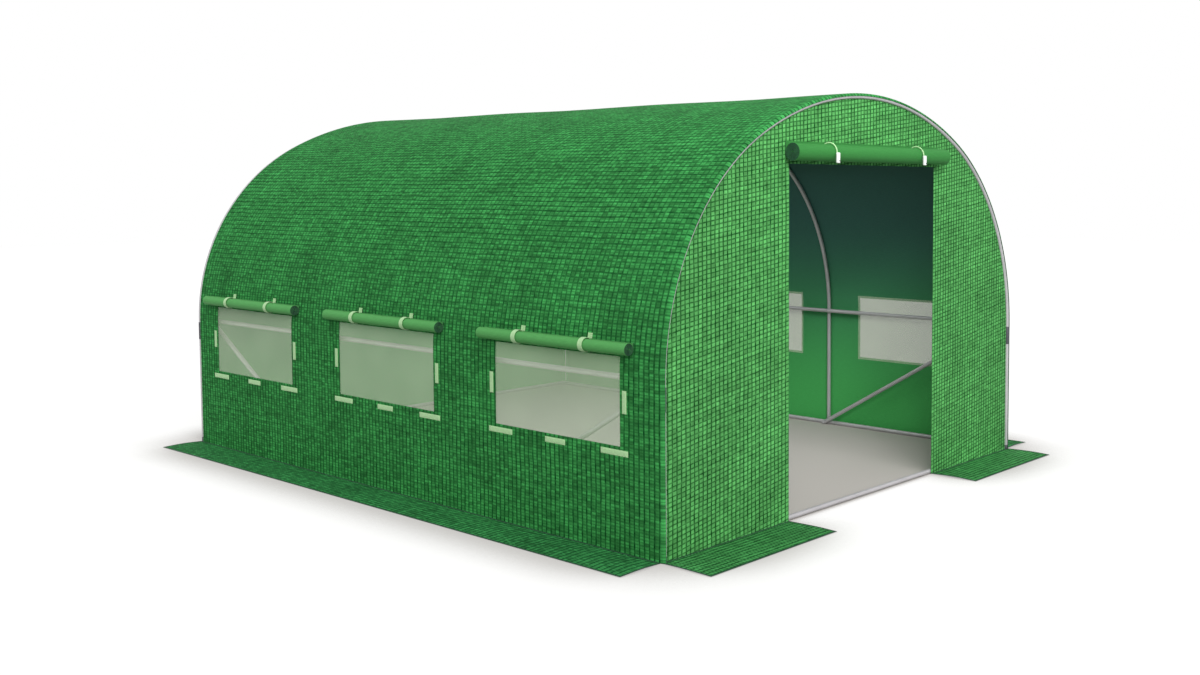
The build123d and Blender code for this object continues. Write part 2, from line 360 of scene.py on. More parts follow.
def map_cut(piece, place):
    """Writes the UV map that says where each corner lies on the flat film, in metres."""
    layers = piece.data.uv_layers
    for name in [layer.name for layer in layers]:
        layers.remove(layers[name])
    chart = layers.new(name=CUT_MAP)
    for loop in piece.data.loops:
        chart.data[loop.index].uv = place(piece.data.vertices[loop.vertex_index].co)


def moved(x=0, y=0, z=0):
    return Matrix.Translation((x, y, z))


def turned(angle, axis):
    return Matrix.Rotation(angle, 4, axis)


def copies(piece, matrices, name):
    """Copies a finished shape to each place, each with its own mesh, and joins them."""
    made = []
    for matrix in matrices:
        twin = piece.copy()
        twin.data = piece.data.copy()
        twin.data.transform(matrix)
        bpy.context.collection.objects.link(twin)
        made.append(twin)
    return join(made, name)


def join(pieces, name):
    choose(*pieces)
    bpy.ops.object.join()
    pieces[0].name = pieces[0].data.name = name
    return pieces[0]


def discard(*pieces):
    for piece in pieces:
        bpy.data.objects.remove(piece)


def coat(piece, *materials):
    for material in materials:
        piece.data.materials.append(material)
    return piece


def thicken(sheet, thickness, offset, *materials):
    """Coats a sheet's outer face, inner face and rim in turn, and gives it its thickness."""
    coat(sheet, *materials)
    rim = len(materials) - 1
    modify(
        sheet, "SOLIDIFY", thickness=thickness, offset=offset, material_offset=rim // 2,
        material_offset_rim=rim,
    )


def finish(piece, slot, *nodes):
    """Gives a piece its body and hides the CAD nodes it stands for. The slot is not used."""
    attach(piece, "root")
    if nodes:
        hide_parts(*nodes)


# ---------------- shapes of the tunnel
def over_arch():
    """Carries the whole open line up the left leg, over the arch and down the right leg."""
    climb, bend, top = 15, 26, 36  # steps of a leg, of a shoulder and of the crown
    pick_all()
    grow((0, 0, LEG_TOP / climb), climb)
    turn(SHOULDER, (-SHOULDER_X, 0, LEG_TOP), Y_AXIS, bend)
    turn(2 * CROWN, (0, 0, CROWN_Z), Y_AXIS, top)
    turn(SHOULDER, (SHOULDER_X, 0, LEG_TOP), Y_AXIS, bend)
    grow((0, 0, -LEG_TOP / climb), climb)


def girth(place):
    """How far along the cover's girth a point lies, from the left foot."""
    x, z = abs(place.x), place.z
    lean = atan2(z - LEG_TOP, x - SHOULDER_X)
    if z <= LEG_TOP:
        reach = z
    elif lean < SHOULDER:
        reach = LEG_TOP + SHOULDER_RADIUS * lean
    else:
        reach = LEG_TOP + SHOULDER_RADIUS * SHOULDER + CROWN_RADIUS * (atan2(z - CROWN_Z, x) - SHOULDER)
    return reach if place.x < 0 else 2 * HALF_GIRTH - reach


def from_axis(place):
    """Direction away from the tunnel's middle line."""
    return Vector((place.x, 0, place.z - LEG_TOP if place.z > LEG_TOP else 0)).normalized()


def wall_x(z):
    """How far out the cover's face is at a height."""
    return HALF_WIDTH if z <= LEG_TOP else SHOULDER_X + sqrt(SHOULDER_RADIUS**2 - (z - LEG_TOP) ** 2)


def ease(value, low, high):
    """0 below low, 1 above high, smooth between."""
    share = min(1, max(0, (value - low) / (high - low)))
    return share * share * (3 - 2 * share)


def in_window(place, margin=0.0):
    """Whether a point lies in a window opening, grown by a margin."""
    level = SILL - margin < place.z < LINTEL + margin
    beside = any(abs(place.y - y) < WINDOW_HALF + margin for y in WINDOW_YS)
    return level and beside and abs(place.x) > SHOULDER_X


def windows():
    """Each window's side, as a name and a sign, its number from the front, and its middle along Y."""
    for side_name, side in SIDES.items():
        for bay, y in enumerate(WINDOW_YS, 1):
            yield side_name, side, bay, y


def span(node_name):
    """Low corner, high corner and middle of a CAD node."""
    low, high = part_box(node_name)
    return low, high, (low + high) / 2


# ---------------- materials
def link(tree, value, socket):
    """Links an output to a socket, or writes a constant there."""
    if isinstance(value, bpy.types.NodeSocket):
        tree.links.new(value, socket)
    else:
        socket.default_value = value


def node(tree, kind, inputs=None, **settings):
    """Adds a shader node with its settings, and sets or links its inputs."""
    made = tree.nodes.new("ShaderNode" + kind)
    for name, value in settings.items():
        setattr(made, name, value)
    for name, value in (inputs or {}).items():
        link(tree, value, made.inputs[name])
    return made


def fresh(name, **surface):
    """A new material, and its tree with constant values on the surface shader's own sockets."""
    material = bpy.data.materials.new(name)
    material.use_nodes = True
    for socket, value in surface.items():
        on_surface(material.node_tree, socket.replace("_", " "), value)
    return material, material.node_tree


def on_surface(tree, socket, value):
    link(tree, value, tree.nodes["Principled BSDF"].inputs[socket])


def dressed(material, tone, height=None, strength=0.0, depth=0.0, invert=False):
    """Gives a material its tone, and fine relief where it has some."""
    tree = material.node_tree
    on_surface(tree, "Base Color", tone)
    if height:
        bump = node(tree, "Bump", {"Height": height, "Strength": strength, "Distance": depth}, invert=invert)
        on_surface(tree, "Normal", bump.outputs[0])
    return material


def rgba(value, factor=1):
    return (*(min(1, c * factor) for c in value), 1.0)


def reckon(tree, operation, first, second, kind="Math"):
    return node(tree, kind, {0: first, 1: second}, operation=operation).outputs[0]


def mixed(tree, mode, factor, first, second):
    """Blends two colours."""
    inputs = {0: factor, 6: first, 7: second}
    return node(tree, "Mix", inputs, data_type="RGBA", blend_type=mode).outputs[2]


def ramp(tree, source, low, high, dark, light, **options):
    """Maps a value between two levels to a grey."""
    inputs = {"Value": source, "From Min": low, "From Max": high, "To Min": dark, "To Max": light}
    return node(tree, "MapRange", inputs, **options).outputs["Result"]


def noise(tree, vector, scale, detail=3.0, stretch=(1, 1, 1)):
    at = node(tree, "Mapping", {"Vector": vector, "Scale": stretch}).outputs[0]
    return node(tree, "TexNoise", {"Vector": at, "Scale": scale, "Detail": detail}).outputs["Fac"]


def patches(tree, dark, light, *pattern):
    """A noise pattern, spread from dark to light over the levels where most of it lies."""
    return ramp(tree, noise(tree, *pattern), 0.3, 0.7, dark, light)


def shaded(tree, tone, *shades):
    """Multiplies a tone by each grey in turn."""
    for shade in shades:
        tone = mixed(tree, "MULTIPLY", 1.0, tone, shade)
    return tone


def in_space(tree):
    return node(tree, "TexCoord").outputs["Object"]


def height_of(tree):
    return node(tree, "SeparateXYZ", {0: in_space(tree)}).outputs["Z"]


def on_film(tree):
    """Place on the flat film, in metres."""
    return node(tree, "UVMap", uv_map=CUT_MAP).outputs[0]


def threads(tree, flat, pitch, direction, strength):
    """How strongly a family of dark threads shows, at that pitch and a little uneven."""
    inputs = {"Vector": flat, "Scale": pi / 10 / pitch, "Distortion": 1.3, "Detail": 2.0, "Detail Scale": 0.6}
    band = node(tree, "TexWave", inputs, bands_direction=direction).outputs["Fac"]
    return ramp(tree, band, 0.36, 0.08, 0.0, strength)


def woven(name, light, line, uneven, size, walls, roof):
    """Reinforced film: uneven light cells between dark threads across, along and at every second row.

    The threads' strengths go from one value on the walls to another on the roof.
    """
    material, tree = fresh(name, Roughness=0.8, Specular_IOR_Level=0.06)
    flat = on_film(tree)
    cell, row = size
    stray = 0.6  # of a cell
    cells = node(tree, "Mapping", {"Vector": flat, "Scale": (1 / cell, 1 / row, 1)}).outputs[0]
    drift = node(tree, "TexNoise", {"Vector": flat, "Scale": 16.0, "Detail": 2.0}).outputs["Color"]
    pull = reckon(tree, "SUBTRACT", drift, (0.5, 0.5, 0.5), "VectorMath")
    pull = reckon(tree, "MULTIPLY", pull, (stray, stray, stray), "VectorMath")
    halves = node(
        tree, "TexBrick",
        {
            "Vector": reckon(tree, "ADD", cells, pull, "VectorMath"), "Scale": 1.0,
            "Color1": rgba(light, 1 + uneven), "Color2": rgba(light, 1 - uneven),
            "Mortar": rgba(light, 0.8), "Mortar Size": 0.1, "Mortar Smooth": 0.8,
            "Brick Width": 1.0, "Row Height": 1.0,
        },
        offset=0.0, squash=1.0,
    ).outputs["Color"]
    height = height_of(tree)
    dark = 0.0
    for pitch, direction, low, high in zip((cell, row, 2 * row), "XYY", walls, roof):
        strength = ramp(tree, height, LEG_TOP, ROOF_Z, low, high)
        dark = reckon(tree, "MAXIMUM", dark, threads(tree, flat, pitch, direction, strength))
    dark = reckon(tree, "MULTIPLY", dark, patches(tree, 0.5, 1.1, flat, 38.0))
    tone = shaded(
        tree, mixed(tree, "MIX", dark, halves, rgba(line)),
        patches(tree, 0.84, 1.16, flat, 9.0, 2.0, (0.35, 6.0, 1)),
        patches(tree, 0.84, 1.16, flat, 9.0, 2.0, (6.0, 0.35, 1)),
        patches(tree, 0.86, 1.12, flat, 3.2, 4.0),
    )
    return dressed(material, tone, dark, 0.5, 0.0007, invert=True)


def smooth_film(name, grain, low, high=None):
    """The smooth face of the film, whose threads barely show. Given a high colour, it carries a painted
    shade: it blends from the low colour near the ground to the darker high colour under the ridge.
    """
    material, tree = fresh(name, Roughness=0.6, Specular_IOR_Level=0.15)
    tone, flat = rgba(low), on_film(tree)
    if high is not None:
        # Painted shade by height: from the lit colour near the ground to the shaded colour under the ridge.
        rise = ramp(tree, height_of(tree), 0.1, 1.45, 0.0, 1.0, interpolation_type="SMOOTHSTEP")
        tone = mixed(tree, "MIX", rise, tone, rgba(high))
    fine = noise(tree, flat, 240.0, 2.0)
    threads_seen = ramp(tree, fine, 0.3, 0.7, 1 - grain, 1 + grain)
    tone = shaded(tree, tone, threads_seen, patches(tree, 0.93, 1.06, flat, 30.0, 2.0, (1, 9, 1)))
    return dressed(material, tone, fine, 0.25, 0.0004)


def cut_edge_and_painted_shade(name, base):
    """Raw edge of the film, darkened: partly the film's own edge, partly painted shade on the roll ends and
    the skirts' hems.
    """
    material, tree = fresh(name, Roughness=0.7)
    return dressed(material, shaded(tree, rgba(base), patches(tree, 0.7, 1.3, in_space(tree), 60.0)))


def clear_film(name, base, cover):
    """Milky clear film, a little cloudier in patches."""
    material, tree = fresh(name, Roughness=0.5, Specular_IOR_Level=0.1, Alpha=cover)
    cloud = patches(tree, 0.92, 1.06, on_film(tree), 4.0, 4.0)
    return dressed(material, shaded(tree, rgba(base), cloud))


def galvanised(name, base):
    """Dull zinc: faint flakes and darker patches."""
    material, tree = fresh(name, Metallic=0.35, Roughness=0.38, Specular_IOR_Level=0.3)
    place = in_space(tree)
    flake = node(tree, "TexVoronoi", {"Vector": place, "Scale": 260.0}).outputs["Distance"]
    faint = ramp(tree, flake, 0.0, 1.0, 0.96, 1.05)
    dull = patches(tree, 0.92, 1.06, place, 7.0, 5.0)
    on_surface(tree, "Roughness", patches(tree, 0.34, 0.41, place, 25.0, 4.0))
    return dressed(material, shaded(tree, rgba(base), faint, dull), flake, 0.08, 0.0001)


def moulded(name, base, roughness=0.35):
    """Moulded plastic with a faint grain."""
    material, tree = fresh(name, Roughness=roughness)
    place = in_space(tree)
    tone = shaded(tree, rgba(base), patches(tree, 0.93, 1.05, place, 40.0))
    return dressed(material, tone, noise(tree, place, 700.0, 2.0), 0.1, 0.0003)


def ribbed(name, base):
    """Webbing: fine ribs across its length."""
    material, tree = fresh(name, Roughness=0.75, Sheen_Weight=0.25, Specular_IOR_Level=0.2)
    flat = on_film(tree)
    inputs = {"Vector": flat, "Scale": 110.0, "Distortion": 0.6, "Detail": 1.0}
    ribs = node(tree, "TexWave", inputs, bands_direction="Y").outputs["Fac"]
    shades = ramp(tree, ribs, 0.0, 1.0, 0.80, 1.06), patches(tree, 0.90, 1.08, flat, 90.0)
    return dressed(material, shaded(tree, rgba(base), *shades), ribs, 0.5, 0.0005)


def kept(maker, name, *values, **options):
    """A material by name, made once."""
    return bpy.data.materials.get(name) or maker(name, *values, **options)


def steel_finish(scene):
    return kept(galvanised, "galvanised_steel", scene.tunnel_fittings.steel)


def dark_plastic_and_hole_shade(scene):
    return kept(moulded, "moulded_dark", scene.tunnel_fittings.plastic, roughness=0.45)


# Cut edges, which also carry painted shade on skirt hems and roll ends.
def raw_edge_and_painted_shade(scene):
    return kept(cut_edge_and_painted_shade, "film_cut_edge", scene.tunnel_film.edge)


def film_set(scene, face):
    """Outer face, inner face and cut edge of the woven film."""
    film = scene.tunnel_film
    light, line = getattr(film, f"{face}_light"), getattr(film, f"{face}_line")
    if face.startswith("end"):
        uneven, size = 0.18, (film.end_cell, film.end_row)
        walls = roof = (1.0, 0.8, 0.0)
    else:
        uneven, size = 0.36, (film.cover_cell, film.cover_row)
        walls, roof = (1.0, 0.45, 0.45), (0.6, 0.25, 0.95)
    outer = kept(woven, f"woven_{face}", light, line, uneven, size, walls, roof)
    # The inner face carries the painted shade from ground to ridge.
    inner = kept(smooth_film, "film_inside", 0.14, film.inside_painted_lit_low, film.inside_painted_shade_high)
    return outer, inner, raw_edge_and_painted_shade(scene)


def webbing_finish(scene):
    return kept(ribbed, "ribbed_webbing", scene.tunnel_trim.webbing_colour)


# ---------------- operators
class TUNNEL_OT_frame(bpy.types.Operator):
    """Gives the frame's tubes their zinc finish"""

    bl_idname = "tunnel.frame"
    bl_label = "Steel frame"

    def execute(self, context):
        steel = steel_finish(context.scene)
        for name in STEEL_NODES:
            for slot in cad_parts[name].material_slots:
                slot.material = steel
        return {"FINISHED"}


def collar(outer, inner, low, high):
    """A short round sleeve with softened rims, standing on the Z axis."""
    wall = outer - inner
    piece = lone("circle", "collar", vertices=32, radius=inner, location=(0, 0, low))
    grow((0, 0, high - low))
    close(piece, lambda place: Vector((place.x, place.y, 0)))
    modify(piece, "SOLIDIFY", thickness=wall, offset=1)
    modify(piece, "BEVEL", width=min(0.0012, wall * 0.4), segments=2)
    smooth(piece)
    return piece


class TUNNEL_OT_fittings(bpy.types.Operator):
    """Adds the sleeves, feet and nuts of the frame"""

    bl_idname = "tunnel.fittings"
    bl_label = "Sleeves, feet and nuts"

    def execute(self, context):
        settings = context.scene.tunnel_fittings
        dark, steel = dark_plastic_and_hole_shade(context.scene), steel_finish(context.scene)
        below_purlin = 0.002
        top = LEG_TOP - TUBE_RADIUS - below_purlin
        sleeve = collar(settings.sleeve_radius, TUBE_RADIUS + 0.0002, top - settings.sleeve_length, top)
        foot = collar(TUBE_RADIUS + 0.00028, TUBE_RADIUS + 0.0001, 0.0, settings.foot_height)
        for shape, material, places, name in (
            (sleeve, dark, self.legs(HOOP_YS[::BAYS]), "leg_sleeves"),
            (foot, dark, self.legs(HOOP_YS), "leg_feet"),
            (self.nut(settings.nut_radius), steel, self.nut_places(), "frame_nuts"),
        ):
            finish(copies(coat(shape, material), places, name), "steel_tube")
            discard(shape)
        return {"FINISHED"}

    def legs(self, hoop_ys):
        """Where the legs of some hoops stand."""
        return [moved(side * HOOP_X, y) for side in SIDES.values() for y in hoop_ys]

    def nut(self, radius):
        """A washer, a six-sided nut and the end of its bolt, standing on the origin along Z."""
        washer_height, nut_height, nut_middle = 0.0016, 0.0055, 0.004
        washer = lone(
            "cylinder", "washer", vertices=20, radius=radius * 1.15, depth=washer_height,
            location=(0, 0, 0.0006),
        )
        soften_edges(0.0004)
        close(washer)
        body = lone(
            "cylinder", "nut", vertices=6, radius=radius * 0.92, depth=nut_height, location=(0, 0, nut_middle)
        )
        pick(body, lambda place: place.z > nut_middle + NEAR, "FACE")
        for rim, rise in ((0.0032, 0.003), (0.0008, 0.0008)):
            bpy.ops.mesh.inset(thickness=rim)
            grow((0, 0, rise))
        close(body)
        modify(body, "BEVEL", width=0.0005, segments=2)
        return join([washer, body], "nut")

    def nut_places(self):
        """Where tubes cross: on the inner face of the last tube, and under the ridge."""
        low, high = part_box("right_braces")
        spots = [(RAIL_X, y, LEG_TOP) for y in HOOP_YS[1:-1]]
        for hoop, end in ((HOOP_YS[1], low.y + TUBE_RADIUS), (HOOP_YS[-2], high.y - TUBE_RADIUS)):
            spots += [(BRACE_X, hoop, TUBE_RADIUS), (BRACE_X, end, LEG_TOP)]
        for side in SIDES.values():
            for x, y, z in spots:
                yield moved(side * (x - TUBE_RADIUS), y, z) @ turned(-side * pi / 2, "Y")
        for y in HOOP_YS[1:-1]:
            yield moved(0, y, RIDGE_PURLIN_Z) @ turned(pi, "X")


class TUNNEL_OT_cover(bpy.types.Operator):
    """Stretches the cover over the hoops, with its window openings"""

    bl_idname = "tunnel.cover"
    bl_label = "Cover"

    def execute(self, context):
        film = context.scene.tunnel_film
        columns, front_wrap = 72, radians(84)
        air = 0.002  # between its tucked end and the back hoop
        cover = lone_point("cover_sheet", (-HALF_WIDTH, FRONT_Y, 0))
        grow((0, (BACK_Y - FRONT_Y) / columns, 0), columns)
        pick(cover, lambda place: abs(place.y - FRONT_Y) < NEAR)
        turn(front_wrap, (-HOOP_X, FRONT_Y, 0), Z_AXIS, steps=7)
        pick(cover, lambda place: abs(place.y - BACK_Y) < NEAR)
        bpy.ops.transform.translate(value=(0, -film.back_hoop_bare, 0))
        grow((TUBE_RADIUS, film.back_hoop_bare - TUBE_RADIUS - air, 0))
        over_arch()
        cut(Y_AXIS, *(y + end * WINDOW_HALF for y in WINDOW_YS for end in (-1, 1)))
        cut(Z_AXIS, SILL, LINTEL)
        carve(cover, in_window)
        close(cover, from_axis)
        map_cut(cover, lambda place: (place.y, girth(place)))
        self.slacken(cover, film)
        thicken(cover, film.thickness, -1, *film_set(context.scene, "cover"))
        smooth(cover)
        finish(cover, "cover_film", *COVER_NODES)
        return {"FINISHED"}

    def slacken(self, cover, film):
        """Dips the roof between hoops, and lets faint creases show away from hems and windows."""

        def between_hoops(place):
            if not FRONT_Y < place.y < BACK_Y:
                return 0.0
            return (1 - cos(2 * pi * (place.y - FRONT_Y) / BAY)) / 2

        def roof(place):
            return between_hoops(place) * ease(place.z, 0.95, 1.45)

        def free(place):
            if in_window(place, margin=0.14):
                return 0.0
            return sqrt(between_hoops(place)) * ease(place.z, 0.0, 0.2)

        displace(cover, roof, strength=-film.sag, mid_level=0)
        ripple(cover, free, size=0.34, height=0.0025, mid=1.0)


class TUNNEL_OT_end_walls(bpy.types.Operator):
    """Hangs the front wall with its doorway, and the back wall"""

    bl_idname = "tunnel.end_walls"
    bl_label = "End walls"

    def execute(self, context):
        front = self.wall(context.scene, "front_wall_sheet", FRONT_Y, 1)
        back = self.wall(context.scene, "back_wall_sheet", BACK_Y, -1)
        finish(front, "end_film", "front_left_panel", "front_right_panel", "front_over_door")
        finish(back, "end_film", "back_wall")
        return {"FINISHED"}

    def wall(self, scene, name, y, inward):
        """A flat wall whose edge wraps the inner side of its hoop. The front one has the doorway."""
        film = scene.tunnel_film
        wrap, pocket, step = radians(80), TUBE_RADIUS + 0.0009, 0.055
        wall = lone_point(name, (pocket - HOOP_X, y, 0))
        turn(inward * wrap, (-HOOP_X, y, 0), Z_AXIS, steps=5)
        over_arch()
        pick(wall, lambda place: abs(place.y - y) < NEAR, "EDGE")
        bpy.ops.mesh.edge_face_add()
        cut(X_AXIS, *(i * step - HALF_WIDTH for i in range(1, round(2 * HALF_WIDTH / step))))
        cut(Z_AXIS, *(i * step for i in range(1, round(RIDGE / step))))
        doorway = inward > 0
        if doorway:
            cut(X_AXIS, -DOOR_X, DOOR_X)
            cut(Z_AXIS, DOOR_TOP)
            carve(wall, lambda place: abs(place.x) < DOOR_X and place.z < DOOR_TOP)
        close(wall, lambda place: -inward * Y_AXIS)
        map_cut(wall, lambda place: (place.x, place.z - film.skew * place.x))

        def free(place):
            if abs(place.y - y) > NEAR:
                return 0.0
            edge = self.to_edge(place)
            if doorway:
                hem = 0.02
                edge = min(edge, max(abs(place.x) - DOOR_X, place.z - DOOR_TOP) + hem)
            return ease(edge, 0.0, 0.18)

        ripple(wall, free, size=0.42, height=0.006, direction="Y")
        thicken(wall, film.thickness, 0, *film_set(scene, "end"))
        smooth(wall)
        return wall

    def to_edge(self, place):
        """Distance from a point on a wall to the nearer of its hoop and the ground."""
        x, z = abs(place.x), place.z
        if z <= LEG_TOP:
            return min(HALF_WIDTH - x, z)
        if atan2(z - LEG_TOP, x - SHOULDER_X) < SHOULDER:
            return SHOULDER_RADIUS - hypot(x - SHOULDER_X, z - LEG_TOP)
        return CROWN_RADIUS - hypot(x, z - CROWN_Z)


class TUNNEL_OT_skirts(bpy.types.Operator):
    """Lays the skirts on the ground round the tunnel"""

    bl_idname = "tunnel.skirts"
    bl_label = "Skirts"

    def execute(self, context):
        for node_name in SKIRT_NODES:
            self.skirt(context.scene, node_name)
        return {"FINISHED"}

    def skirt(self, scene, node_name):
        """A strip with a folded edge all round, slack along its middle."""
        film = scene.tunnel_film
        low, high, middle = span(node_name)
        size = high - low
        # Skirts take darker copies of the wall films' colours, as painted shade.
        face, across = ("skirt", 0) if size.y > size.x else ("end_skirt", 1)
        hem = Vector((film.hem, film.hem, 0))
        inner_low, inner_high = low + hem, high - hem
        cell, off_ground = 0.05, 0.0002
        columns, rows = (max(2, round(reach / cell)) for reach in (size.x, size.y))
        place = (middle.x, middle.y, film.thickness + off_ground)
        strip = lone_grid(f"{node_name}_strip", columns, rows, (size.x, size.y), location=place)

        def inner(place):
            return all(inner_low[i] < place[i] < inner_high[i] for i in (0, 1))

        def free(place):
            return ease(min(place[across] - low[across], high[across] - place[across]), 0.0, 0.09)

        bpy.ops.mesh.inset(thickness=film.hem)
        pick(strip, lambda place: not inner(place), "FACE")
        grow((0, 0, film.thickness))
        close(strip, lambda place: Z_AXIS)
        map_cut(strip, lambda place: (place.y, place.x))
        # The hem band takes the dark edge colour: a painted shadow line along the skirt's edge.
        for polygon in strip.data.polygons:
            polygon.material_index = 0 if inner(polygon.center) else 2
        ripple(strip, free, size=0.22, height=0.007, direction="Z", mid=0)
        thicken(strip, film.thickness, -1, *film_set(scene, face))
        smooth(strip, angle=50)
        finish(strip, "skirt_film", node_name)


class TUNNEL_OT_panes(bpy.types.Operator):
    """Sews the clear panes to the inside of the walls"""

    bl_idname = "tunnel.panes"
    bl_label = "Window panes"

    def execute(self, context):
        settings = context.scene.tunnel_windows
        clear = clear_film("film_clear", settings.pane_colour, settings.pane_cover)
        for side_name, side, bay, y in windows():
            pane = self.pane(settings.lap, f"{side_name}_pane_{bay}", side, y)
            thicken(pane, settings.pane, -1, clear)
            smooth(pane)
            finish(pane, "window_film", f"{side_name}_windows")
        return {"FINISHED"}

    def pane(self, lap, name, side, y):
        """A pane just inside the wall, a little slack away from its seam."""
        half, low, high = WINDOW_HALF + lap, SILL - lap, LINTEL + lap
        middle = (side * HALF_WIDTH, y, (low + high) / 2)
        pane = lone_grid(name, 16, 22, (high - low, 2 * half), rotation=(0, pi / 2, 0), location=middle)
        self.follow_wall(pane, side)
        close(pane, lambda place: side * X_AXIS)
        map_cut(pane, lambda place: (place.y, place.z))

        def free(place):
            return ease(min(half - abs(place.y - y), place.z - low, high - place.z), lap, lap + 0.12)

        ripple(pane, free, size=0.25, height=0.006, direction="X")
        return pane

    def follow_wall(self, pane, side):
        """Moves each row of the pane to the wall's inner face."""
        inset = 0.0032  # from the cover's outer face
        shape = bmesh.from_edit_mesh(pane.data)
        for level in sorted({round(v.co.z, 5) for v in shape.verts}):
            pick(pane, lambda place: abs(place.z - level) < 1e-4)
            bpy.ops.transform.translate(value=(side * (wall_x(level) - inset - HALF_WIDTH), 0, 0))


def wound(name, radius, core, pitch, width, tail):
    """A sheet rolled up round the Z axis, its free end leaving towards +X on the -Y side."""
    turns = (radius - core) / pitch
    middle = (radius + core) / 2
    run = 2 * pi * turns * middle
    sheet = lone_grid(name, round(turns * 26), 22, (run, width))
    bpy.ops.object.mode_set(mode="OBJECT")
    sheet.data.transform(turned(-atan2(radius - core, run), "Z") @ turned(pi / 2, "X"))
    map_cut(sheet, lambda place: (place.z, place.x + run / 2))
    modify(sheet, "SIMPLE_DEFORM", deform_method="BEND", deform_axis="Z", angle=turns * 2 * pi)
    sheet.data.transform(turned(-turns * pi, "Z") @ moved(0, -middle))
    bpy.ops.object.mode_set(mode="EDIT")
    pick(sheet, lambda place: abs(place.x) < 1e-4 and place.y < pitch / 2 - radius)
    grow((tail / 4, 0, 0), 4)
    bpy.ops.object.mode_set(mode="OBJECT")
    return sheet


def rolled(scene, name, node_name, rests_on, width, flat_length, tail, matrix, back):
    """Winds a sheet to its CAD node's radius, finishes it and puts it in place."""
    film = scene.tunnel_film
    low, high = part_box(node_name)
    radius, core = (high.z - low.z) / 2, 0.004
    packed = 0.8  # share of each turn that is film and the air in its folds
    pitch = pi * (radius**2 - core**2) / (flat_length + packed * pi * radius)
    thickness = packed * pitch
    roll = wound(name, radius - thickness / 2, core, pitch, width, tail)

    def off_core(place):
        return float(hypot(place.x, place.y) > core)

    ripple(roll, off_core, size=0.09, height=0.0016, mid=1.0)
    roll.data.transform(matrix)
    face = kept(smooth_film, f"film_{back}", 0.08, getattr(film, back))
    thicken(roll, thickness, 0, face, raw_edge_and_painted_shade(scene))
    smooth(roll, angle=60)
    finish(roll, "rolled_film", node_name)
    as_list(rests_on)


def axes(first, second, third, place):
    """A matrix that turns X, Y and Z to three directions and moves the origin."""
    return Matrix.Translation(place) @ Matrix((first, second, third)).transposed().to_4x4()


class TUNNEL_OT_door_flap(bpy.types.Operator):
    """Rolls the door flap up over the doorway"""

    bl_idname = "tunnel.door_flap"
    bl_label = "Rolled door flap"

    def execute(self, context):
        low, high, middle = span("door_roll")
        flap_length, tail = 1.70, 0.05
        # The door roll's film takes the darker, painted-shade copy of the rolls' colour.
        rolled(
            context.scene, "door_flap_roll", "door_roll", ["door_ties"], high.x - low.x,
            flap_length, tail, axes(Z_AXIS, -Y_AXIS, X_AXIS, middle), "door_rolled",
        )
        return {"FINISHED"}


class TUNNEL_OT_window_covers(bpy.types.Operator):
    """Rolls the window covers up over the windows"""

    bl_idname = "tunnel.window_covers"
    bl_label = "Rolled window covers"

    def execute(self, context):
        cover_length, tail = context.scene.tunnel_windows.cover_length, 0.024
        for side_name, side, bay, y in windows():
            node_name = f"{side_name}_window_rolls"
            _, high, middle = span(node_name)
            rolled(
                context.scene, f"{side_name}_window_roll_{bay}", node_name, ["cover_sheet"],
                2 * (high.y - WINDOW_YS[-1]), cover_length, tail,
                axes(Z_AXIS, side * X_AXIS, side * Y_AXIS, (middle.x, y, middle.z)), "rolled",
            )
        return {"FINISHED"}


class TUNNEL_OT_straps(bpy.types.Operator):
    """Straps the rolled window covers to the walls"""

    bl_idname = "tunnel.straps"
    bl_label = "Roll straps"

    def execute(self, context):
        half = context.scene.tunnel_trim.strap_spacing / 2
        for side_name, side in SIDES.items():
            strap = self.strap(context.scene, side_name, side)
            places = [moved(0, y + end * half) for y in WINDOW_YS for end in (-1, 1)]
            finish(copies(strap, places, f"{side_name}_straps"), "webbing", f"{side_name}_roll_straps")
            discard(strap)
        return {"FINISHED"}

    def strap(self, scene, side_name, side):
        """A strap down the wall and round the roll, at y = 0."""
        trim = scene.tunnel_trim
        webbing, width = trim.webbing, trim.strap_width
        low, high, centre = span(f"{side_name}_window_rolls")
        centre.y = 0
        radius = (high.z - low.z) / 2
        ring = radius + GAP + webbing / 2
        off_wall = acos((radius - webbing / 2) / ring)
        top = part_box(f"{side_name}_roll_straps")[1].z
        start = Vector((side * (wall_x(top) + webbing / 2 + 0.0004), 0, top))
        meet = Vector((centre.x - side * ring * cos(off_wall), 0, centre.z + ring * sin(off_wall)))

        strap = lone_point("strap", (start.x, -width / 2, top))
        grow((0, width / 3, 0), 3)
        pick_all()
        grow((meet - start) / 4, 4)
        turn(side * (2 * pi - 2 * off_wall), centre, Y_AXIS, steps=40)
        close(strap, lambda place: (place - centre) * Vector((1, 0, 1)))

        def along(place):
            past = side * (place.x - centre.x)
            if place.z > meet.z - NEAR and past < 0 and abs(place.x - meet.x) < 0.002:
                return (place.y, top - place.z)
            lean = atan2(place.z - centre.z, -past)
            return (place.y, top - meet.z + ring * ((off_wall - lean) % (2 * pi)))

        map_cut(strap, along)
        thicken(strap, webbing, 0, webbing_finish(scene))
        modify(strap, "BEVEL", width=0.0004, segments=1, limit_method="ANGLE")
        smooth(strap)
        return strap


